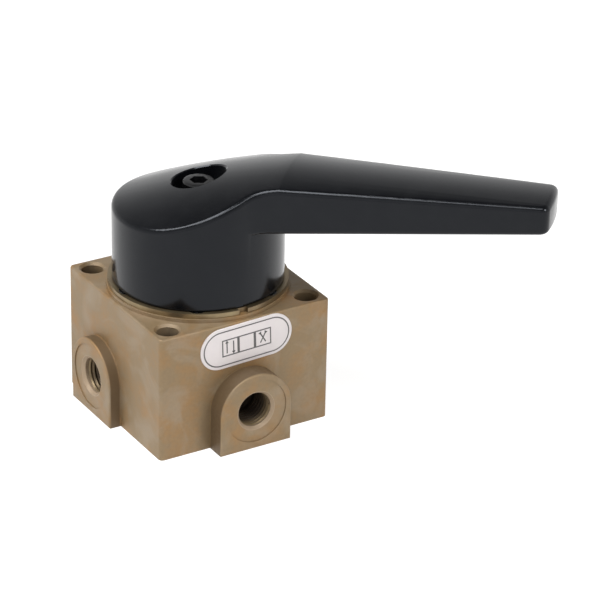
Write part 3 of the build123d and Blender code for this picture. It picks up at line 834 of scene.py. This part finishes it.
class VALVE_OT_clamp_screw(bpy.types.Operator):
    """Socket head screw with a knurled head and a hexagon socket"""

    bl_idname = "valve.clamp_screw"
    bl_label = "Clamp Screw"

    def execute(self, context):
        made = context.scene.valve_screw
        low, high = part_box("handle_screw")
        centre = (low + high) / 2
        radius = (high.x - low.x) / 2
        head = radius * 1.2
        points = made.flutes * 4
        socket = radius * 0.5
        top = high.z

        def outermost(screw):
            """Select the ring of points furthest from the screw's axis and lowest of those."""
            verts = bmesh.from_edit_mesh(screw.data).verts
            reach = max(v.co.xy.length for v in verts)
            floor = min(v.co.z for v in verts if v.co.xy.length > reach - WELD)
            pick("VERT", lambda v: v.co.xy.length > reach - WELD and v.co.z < floor + WELD)
            return reach, floor

        def draw_out(ring, r, z):
            """Extrude a selected ring of edges to a new radius and height."""
            reach, height = ring
            bpy.ops.mesh.extrude_edges_move(TRANSFORM_OT_translate={"value": (0, 0, z - height)})
            bpy.ops.transform.resize(value=(r / reach, r / reach, 1), center_override=(0, 0, z))

        focus()
        bpy.ops.mesh.primitive_circle_add(vertices=points, radius=radius * 0.88, location=(0, 0, top))
        screw = context.active_object
        bpy.ops.object.transform_apply(location=True, rotation=True, scale=True)
        bpy.ops.object.mode_set(mode="EDIT")
        # a hexagon of as many points is bridged to the round edge, as the head's flat top
        bpy.ops.mesh.primitive_circle_add(
            vertices=6, radius=socket / math.cos(math.radians(30)), location=(0, 0, top)
        )
        bpy.ops.mesh.subdivide(number_cuts=points // 6 - 1)
        bpy.ops.mesh.select_all(action="SELECT")
        bpy.ops.mesh.bridge_edge_loops()
        # rounded shoulder, in shares of the radius outwards and down from the top
        for out, down in ((0.95, 0.03), (0.995, 0.1), (1, 0.14)):
            draw_out(outermost(screw), radius * out, top - radius * down)
        # straight side, a hair wider at its foot so that the foot stays the outermost ring
        draw_out(outermost(screw), radius * 1.0001, top - head + radius * 0.06)
        # knurl: every second upright strip of the side is pressed in
        slice_angle = 2 * math.pi / made.flutes
        pick(
            "VERT",
            lambda v: v.co.xy.length > radius * 0.999
            and (math.atan2(v.co.y, v.co.x) / slice_angle + 100.25) % 1 > 0.5,
        )
        sunk = 1 - made.flute_depth / radius
        bpy.ops.transform.resize(value=(sunk, sunk, 1), center_override=(0, 0, top))
        floor = min(v.co.z for v in bmesh.from_edit_mesh(screw.data).verts)
        pick("VERT", lambda v: v.co.z < floor + WELD)
        # foot's chamfer, underside and shank
        for share, z in ((0.97, top - head), (0.6, top - head), (0.6, low.z)):
            bpy.ops.mesh.extrude_edges_move(TRANSFORM_OT_translate={"value": (0, 0, z - floor)})
            chosen = [v for v in bmesh.from_edit_mesh(screw.data).verts if v.select]
            shrink = share * radius / max(v.co.xy.length for v in chosen)
            bpy.ops.transform.resize(value=(shrink, shrink, 1), center_override=(0, 0, z))
            floor = z
        bpy.ops.mesh.edge_face_add()
        # hexagon socket with a drilled cone at its foot
        pick("VERT", lambda v: abs(v.co.z - top) < NEAR and v.co.xy.length < radius * 0.7)
        for drop in (made.socket_depth, 0.3 * radius):
            bpy.ops.mesh.extrude_edges_move(TRANSFORM_OT_translate={"value": (0, 0, -drop)})
        bpy.ops.mesh.merge(type="CENTER")
        close_up()
        place = Matrix.Translation((centre.x, centre.y, 0))
        slot = "black_oxide_steel"
        settle(screw, "clamp_screw_knurled", "lever", finish_for(slot), place, smooth=28)
        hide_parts("handle_screw")
        return {"FINISHED"}


class VALVE_OT_stage(bpy.types.Operator):
    """Pale floor, soft lamps and the camera"""

    bl_idname = "valve.stage"
    bl_label = "Studio and Camera"

    def execute(self, context):
        made = context.scene.valve_stage
        focus()
        bpy.ops.mesh.primitive_grid_add(x_subdivisions=4, y_subdivisions=4, size=4.0)
        floor = context.active_object
        floor.name = "studio_floor"
        floor.data.materials.append(self.floor_finish())
        across_view = Vector((math.cos(made.azimuth), math.sin(made.azimuth), 0))
        slanted = Vector((-0.49, 0.8, -0.34))
        # name, place, share of the power, length, width, and the direction that the length runs in;
        # the first two hang overhead and draw the bright line on the handle's edge
        for name, place, share, length, width, side in (
            ("lamp_strip", (-0.55, 0.16, 1.1), 0.97, 0.85, 0.4, slanted),
            ("lamp_front", (-0.35, -0.418, 1.11), 0.45, 0.95, 0.25, across_view),
            ("lamp_left", (-1.0, -0.7, 0.65), 0.06, 1.0, 0.8, across_view),
            ("lamp_right", (0.5, -1.0, 0.8), 0.45, 0.35, 0.35, across_view),
        ):
            self.lamp(name, place, made.lamp_power * share, length, width, side)
        self.sky(made.sky_level)
        self.camera(made)
        return {"FINISHED"}

    def lamp(self, name, place, power, length, width, side):
        """A softbox aimed at the valve's middle, its length running in a side direction."""
        bpy.ops.object.light_add(type="AREA", location=place)
        lamp = bpy.context.active_object
        lamp.name = name
        lamp.data.shape = "RECTANGLE"
        lamp.data.energy = power
        lamp.data.size = length
        lamp.data.size_y = width
        back = (Vector(place) - Vector((0, 0, 40 * MM))).normalized()
        side = (side - side.dot(back) * back).normalized()
        lamp.rotation_mode = "QUATERNION"
        axes = Matrix((side, back.cross(side), back)).transposed()
        lamp.rotation_quaternion = axes.to_quaternion()

    def seen_directly(self, tree):
        """1 for camera, glossy and transmission rays, else 0."""
        path = put(tree, "LightPath")
        kinds = ("Is Camera Ray", "Is Glossy Ray", "Is Transmission Ray")
        return highest(tree, [path.outputs[kind] for kind in kinds])

    def floor_finish(self):
        """Pale paper sweep: white to the eye, with the object's soft shadow kept."""
        material, tree, shader = blank("pale_paper_sweep")
        tree.nodes.remove(shader)
        place = put(tree, "TexCoord").outputs["Object"]
        fibres = put(tree, "TexNoise", {"Vector": place, "Scale": 40.0, "Detail": 3.0})
        tint = put(
            tree,
            "Mix",
            {0: fibres.outputs["Fac"], 6: linear("#f4f3f1"), 7: linear("#f8f7f6")},
            data_type="RGBA",
        )
        paper = put(tree, "BsdfDiffuse", {"Color": tint.outputs[2]})
        dim = put(tree, "BsdfDiffuse", {"Color": linear("#9c9b9a")})
        glow = put(tree, "Emission", {"Color": linear("#ffffff"), "Strength": 0.88})
        shown = put(tree, "AddShader", {0: dim.outputs[0], 1: glow.outputs[0]})
        seen = self.seen_directly(tree)
        both = put(tree, "MixShader", {0: seen, 1: paper.outputs[0], 2: shown.outputs[0]})
        out = next(n for n in tree.nodes if n.type == "OUTPUT_MATERIAL")
        tree.links.new(both.outputs[0], out.inputs["Surface"])
        return material

    def sky(self, level):
        """Even white light, seen as a white sweep behind the valve and a dimmer ceiling above."""
        world = bpy.data.worlds.new("studio_white")
        bpy.context.scene.world = world
        world.use_nodes = True
        tree = world.node_tree
        back = next(n for n in tree.nodes if n.type == "BACKGROUND")
        direction = put(tree, "TexCoord").outputs["Generated"]
        height = put(tree, "SeparateXYZ", {0: direction}).outputs["Z"]
        sweep = put(
            tree,
            "MapRange",
            {"Value": height, "From Min": 0.2, "From Max": 0.85, "To Min": 1.0, "To Max": 0.15},
        )
        strength = put(
            tree,
            "MapRange",
            {"Value": self.seen_directly(tree), "To Min": level, "To Max": sweep.outputs[0]},
        )
        back.inputs["Color"].default_value = linear("#ffffff")
        tree.links.new(strength.outputs[0], back.inputs["Strength"])

    def camera(self, made):
        """Camera at its azimuth, elevation and roll round the valve."""
        a, e, r = made.azimuth, made.elevation, made.roll
        right = Vector((math.cos(a), math.sin(a), 0))
        back = Vector((math.sin(a) * math.cos(e), -math.cos(a) * math.cos(e), math.sin(e)))
        up = back.cross(right)
        turned_right = math.cos(r) * right + math.sin(r) * up
        turned_up = -math.sin(r) * right + math.cos(r) * up
        # the picture's middle lies to the right of and above a point on the valve's axis
        origin = Vector((0, 0, made.aim_height))
        origin += turned_right * made.shift_right + turned_up * made.shift_up
        origin += back * made.distance
        bpy.ops.object.camera_add(location=origin)
        camera = bpy.context.active_object
        camera.name = "camera_main"
        camera.rotation_mode = "QUATERNION"
        axes = Matrix((turned_right, turned_up, back)).transposed()
        camera.rotation_quaternion = axes.to_quaternion()
        camera.data.lens = made.lens
        camera.data.sensor_width = 36.0
        camera.data.clip_end = 20.0
        bpy.context.scene.camera = camera
        bpy.context.scene.view_settings.view_transform = "Standard"


class VALVE_PT_panel(bpy.types.Panel):
    """Buttons for the valve's pieces, in the order they are made"""

    bl_label = "Hand Lever Valve"
    bl_idname = "VALVE_PT_panel"
    bl_space_type = "VIEW_3D"
    bl_region_type = "UI"
    bl_category = "Valve"

    def draw(self, context):
        scene = context.scene
        for operator in OPERATORS:
            self.layout.operator(operator.bl_idname)
        for name in GROUPS:
            box = self.layout.box()
            for field in getattr(scene, name).__annotations__:
                box.prop(getattr(scene, name), field)


OPERATORS = (
    VALVE_OT_inner_parts,
    VALVE_OT_smooth_shells,
    VALVE_OT_port_threads,
    VALVE_OT_label,
    VALVE_OT_clamp_screw,
    VALVE_OT_stage,
)
GROUPS = {
    "valve_ports": ValvePortSettings,
    "valve_label": ValveLabelSettings,
    "valve_screw": ValveScrewSettings,
    "valve_finish": ValveFinishSettings,
    "valve_stage": ValveStageSettings,
}


def register():
    for group in GROUPS.values():
        bpy.utils.register_class(group)
    for name, group in GROUPS.items():
        setattr(bpy.types.Scene, name, PointerProperty(type=group))
    for operator in OPERATORS:
        bpy.utils.register_class(operator)
    bpy.utils.register_class(VALVE_PT_panel)


def unregister():
    bpy.utils.unregister_class(VALVE_PT_panel)
    for operator in reversed(OPERATORS):
        bpy.utils.unregister_class(operator)
    for name in GROUPS:
        delattr(bpy.types.Scene, name)
    for group in reversed(GROUPS.values()):
        bpy.utils.unregister_class(group)


def main():
    register()
    bpy.ops.valve.inner_parts()
    bpy.ops.valve.smooth_shells()
    bpy.ops.valve.port_threads()
    bpy.ops.valve.label()
    bpy.ops.valve.clamp_screw()
    bpy.ops.valve.stage()
    focus()


if __name__ == "__main__":
    main()
